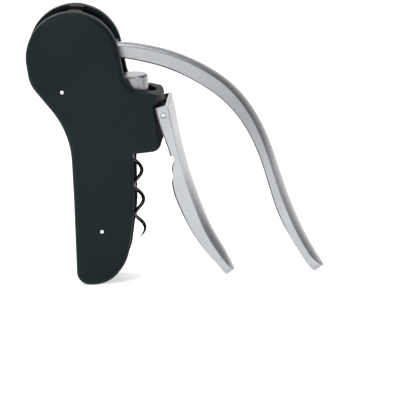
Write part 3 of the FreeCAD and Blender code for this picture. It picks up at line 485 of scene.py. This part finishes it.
def ribs_tree():
    """A ladder of arcs up the inside of the liner."""
    tree, given = new_tree("liner_ribs", [
        ("Count", "NodeSocketInt", 12), ("Bottom", "NodeSocketFloat", 0.03),
        ("Step", "NodeSocketFloat", 0.005), ("Axis X", "NodeSocketFloat", 0.0),
        ("Radius", "NodeSocketFloat", 0.015), ("Rib", "NodeSocketFloat", 0.0004),
        ("Start", "NodeSocketFloat", 0.0), ("Sweep", "NodeSocketFloat", 2.0)])
    value = given.outputs
    arc = add(tree, "GeometryNodeCurveArc", {"mode": "RADIUS", "Resolution": 40}, {
        "Radius": value["Radius"], "Start Angle": value["Start"], "Sweep Angle": value["Sweep"]})
    ring = add(tree, "GeometryNodeCurvePrimitiveCircle", {"Resolution": 10},
               {"Radius": value["Rib"]})
    rib = add(tree, "GeometryNodeCurveToMesh", {"Fill Caps": True}, {
        "Curve": arc.outputs["Curve"], "Profile Curve": ring.outputs["Curve"]})
    low = add(tree, "ShaderNodeCombineXYZ", None, {"X": value["Axis X"], "Z": value["Bottom"]})
    step = add(tree, "ShaderNodeCombineXYZ", None, {"Z": value["Step"]})
    posts = add(tree, "GeometryNodeMeshLine", {"mode": "OFFSET"}, {
        "Count": value["Count"], "Start Location": low.outputs["Vector"],
        "Offset": step.outputs["Vector"]})
    ladder = add(tree, "GeometryNodeInstanceOnPoints", None, {
        "Points": posts.outputs["Mesh"], "Instance": rib.outputs["Mesh"]})
    finish_tree(tree, ladder.outputs["Instances"], MATERIALS["liner_rubber"])
    return tree


# ----------------------------------------------------------------- operators
class CORKSCREW_OT_finishes(bpy.types.Operator):
    """Give every CAD node the finish of its material slot"""

    bl_idname = "corkscrew.finishes"
    bl_label = "Finishes"

    def execute(self, context):
        make_materials(context.scene.corkscrew_finishes)
        for row in frame["record"]["subparts"]:
            node = NODES[row["node"]]
            for slot in node.material_slots:
                slot.material = MATERIALS[row["material_slot"]]
        return {"FINISHED"}


def worm_phase(sizes, bottom):
    """Angle of the helix at its bottom, read from where the CAD wire stands out to +X."""
    wire = NODES["worm"].data.vertices
    limit = WORM_HIGH.x - 0.02 * MM
    halfway = (WORM_LOW.z + WORM_HIGH.z) / 2
    crest = min(v.co.z for v in wire if v.co.x > limit and v.co.z < halfway)
    return math.tau * (bottom - crest) / sizes.pitch


class CORKSCREW_OT_worm(bpy.types.Operator):
    """Draw the coiled worm with its drawn point"""

    bl_idname = "corkscrew.worm"
    bl_label = "Worm"

    def execute(self, context):
        sizes = context.scene.corkscrew_worm
        wire = sizes.wire / 2
        coil = (WORM_HIGH.x - WORM_LOW.x) / 2 - wire
        top = WORM_HIGH.z - 0.9 * wire
        bottom = WORM_LOW.z + 0.6 * MM
        slope = math.atan2(sizes.pitch, math.tau * coil)
        piece = baked("worm_coil", worm_tree(), {
            "Axis X": WORM_AXIS.x, "Axis Y": WORM_AXIS.y, "Bottom": bottom, "Height": top - bottom,
            "Coil Radius": coil, "Pitch": sizes.pitch, "Start": worm_phase(sizes, bottom),
            "Wire Radius": wire, "Point Rise": sizes.point * math.sin(slope)})
        smooth(piece)
        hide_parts("worm")
        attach(piece, "worm_screw")
        return {"FINISHED"}


class CORKSCREW_OT_liner_ribs(bpy.types.Operator):
    """Mould the grip ribs up the inside of the neck liner"""

    bl_idname = "corkscrew.liner_ribs"
    bl_label = "Liner ribs"

    def execute(self, context):
        sizes = context.scene.corkscrew_liner
        bottom = LINER_LOW.z + sizes.low_margin
        top = LINER_HIGH.z - sizes.high_margin
        radius = WORM_AXIS.x - LINER_LOW.x - sizes.inset
        piece = baked("liner_ribs", ribs_tree(), {
            "Count": sizes.count, "Bottom": bottom, "Step": (top - bottom) / (sizes.count - 1),
            "Axis X": WORM_AXIS.x, "Radius": radius, "Rib": sizes.rib,
            "Start": math.pi - sizes.sweep / 2, "Sweep": sizes.sweep})
        smooth(piece)
        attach(piece, "body")
        return {"FINISHED"}


def aim_at(thing, target, roll=0.0):
    """Point an object's -Z at the target, with its +Y up, then roll it."""
    look = (Vector(target) - thing.location).to_track_quat("-Z", "Y")
    thing.rotation_mode = "QUATERNION"
    thing.rotation_quaternion = look @ Quaternion((0, 0, 1), roll)


def softbox(name, place_at, target, size, watts):
    """A rectangular area light, aimed at the target."""
    lamp = bpy.data.lights.new(name, "AREA")
    lamp.shape = "RECTANGLE"
    lamp.size, lamp.size_y = size
    lamp.energy = watts
    light = bpy.data.objects.new(name, lamp)
    bpy.context.scene.collection.objects.link(light)
    light.location = place_at
    aim_at(light, target)


def surround(strength):
    """A white cove, brightest behind the object; it dims overhead, in front and to the right."""
    world = bpy.data.worlds.new("studio")
    bpy.context.scene.world = world
    world.use_nodes = True
    tree = world.node_tree
    tree.nodes.clear()
    way = add(tree, "ShaderNodeTexCoord").outputs["Generated"]
    parts = add(tree, "ShaderNodeSeparateXYZ", None, {"Vector": way}).outputs
    overhead = fade(tree, parts["Z"], 0.1, 0.9, 1.0, 0.45)
    right = fade(tree, parts["X"], -0.05, 0.7, 1.0, 0.35)
    front = fade(tree, parts["Y"], -0.8, 0.3, 0.55, 1.0)
    behind = fade(tree, parts["Y"], 0.6, 0.97, 1.0, 2.0)
    depth = maths(tree, "MULTIPLY", front, behind)
    level = maths(tree, "MULTIPLY", overhead, maths(tree, "MULTIPLY", right, depth))
    glow = add(tree, "ShaderNodeBackground", {"Color": (1, 1, 1, 1)},
               {"Strength": maths(tree, "MULTIPLY", level, strength)})
    add(tree, "ShaderNodeOutputWorld", None, {"Surface": glow.outputs["Background"]})


def paper_floor():
    """Seamless white paper: a flat, faintly mottled white."""
    material, tree = new_material("seamless_paper")
    at = place(tree)
    mottle = noise(tree, at, 60, 3)
    tint = blend_colours(tree, mottle, "#F8F8F8", "#FCFCFC")
    shade(tree, {"Specular IOR Level": 0.1, "Emission Color": (1, 1, 1, 1), "Emission Strength": 0.6},
          tint, span(tree, mottle, 0.8, 0.9))
    return material


def lay_floor():
    """A round sheet of white paper just under the object."""
    floor_radius = 8.0
    floor_gap = 0.05 * MM
    form = bmesh.new()
    bmesh.ops.create_circle(form, cap_ends=True, segments=96, radius=floor_radius)
    mesh = bpy.data.meshes.new("paper_floor")
    form.to_mesh(mesh)
    form.free()
    mesh.transform(Matrix.Translation((0, 0, CAD_LOW.z - floor_gap)))
    mesh.materials.append(paper_floor())
    floor = bpy.data.objects.new("paper_floor", mesh)
    bpy.context.scene.collection.objects.link(floor)


def hang_lights(watts):
    """A key softbox at the front left and a weaker one overhead."""
    heart = (CAD_LOW + CAD_HIGH) / 2
    softbox("key_softbox", heart + Vector((-0.45, -0.75, 0.85)), heart, (0.7, 0.5), watts)
    softbox("top_softbox", heart + Vector((0.1, 0.25, 1.1)), heart, (0.9, 0.5), watts * 0.5)


def set_camera(settings):
    """A distant camera with a long lens, turned, raised and rolled as the settings say."""
    scene = bpy.context.scene
    lens = bpy.data.cameras.new("camera")
    lens.lens = settings.lens
    lens.clip_start, lens.clip_end = 0.05, 60
    camera = bpy.data.objects.new("camera", lens)
    scene.collection.objects.link(camera)
    aim = Vector((WORM_AXIS.x, WORM_AXIS.y, CAD_LOW.z)) + Vector(settings.aim)
    level = math.cos(settings.elevation)
    back = Vector((math.sin(settings.azimuth) * level, -math.cos(settings.azimuth) * level,
                   math.sin(settings.elevation)))
    camera.location = aim + back * settings.distance
    aim_at(camera, aim, settings.roll)
    scene.camera = camera


class CORKSCREW_OT_stage(bpy.types.Operator):
    """Set up the paper floor, the lights and the camera"""

    bl_idname = "corkscrew.stage"
    bl_label = "Stage"

    def execute(self, context):
        settings = context.scene.corkscrew_stage
        context.scene.view_settings.view_transform = "Standard"
        surround(settings.sky)
        lay_floor()
        hang_lights(settings.key)
        set_camera(settings)
        return {"FINISHED"}


class CORKSCREW_PT_panel(bpy.types.Panel):
    """Buttons for each part of the corkscrew"""

    bl_idname = "CORKSCREW_PT_panel"
    bl_label = "Lever Corkscrew"
    bl_space_type = "VIEW_3D"
    bl_region_type = "UI"
    bl_category = "Corkscrew"

    def draw(self, context):
        for operator in OPERATORS:
            self.layout.operator(operator.bl_idname)


OPERATORS = (CORKSCREW_OT_finishes, CORKSCREW_OT_worm, CORKSCREW_OT_liner_ribs, CORKSCREW_OT_stage)
SETTINGS = {
    "corkscrew_worm": WormSettings,
    "corkscrew_liner": LinerSettings,
    "corkscrew_finishes": FinishSettings,
    "corkscrew_stage": StageSettings,
}


def register():
    for group in SETTINGS.values():
        bpy.utils.register_class(group)
    for operator in OPERATORS:
        bpy.utils.register_class(operator)
    bpy.utils.register_class(CORKSCREW_PT_panel)
    for name, group in SETTINGS.items():
        setattr(bpy.types.Scene, name, PointerProperty(type=group))


def unregister():
    for name in SETTINGS:
        delattr(bpy.types.Scene, name)
    bpy.utils.unregister_class(CORKSCREW_PT_panel)
    for operator in reversed(OPERATORS):
        bpy.utils.unregister_class(operator)
    for group in reversed(list(SETTINGS.values())):
        bpy.utils.unregister_class(group)


def main():
    register()
    bpy.ops.corkscrew.finishes()
    bpy.ops.corkscrew.worm()
    bpy.ops.corkscrew.liner_ribs()
    bpy.ops.corkscrew.stage()


if __name__ == "__main__":
    main()
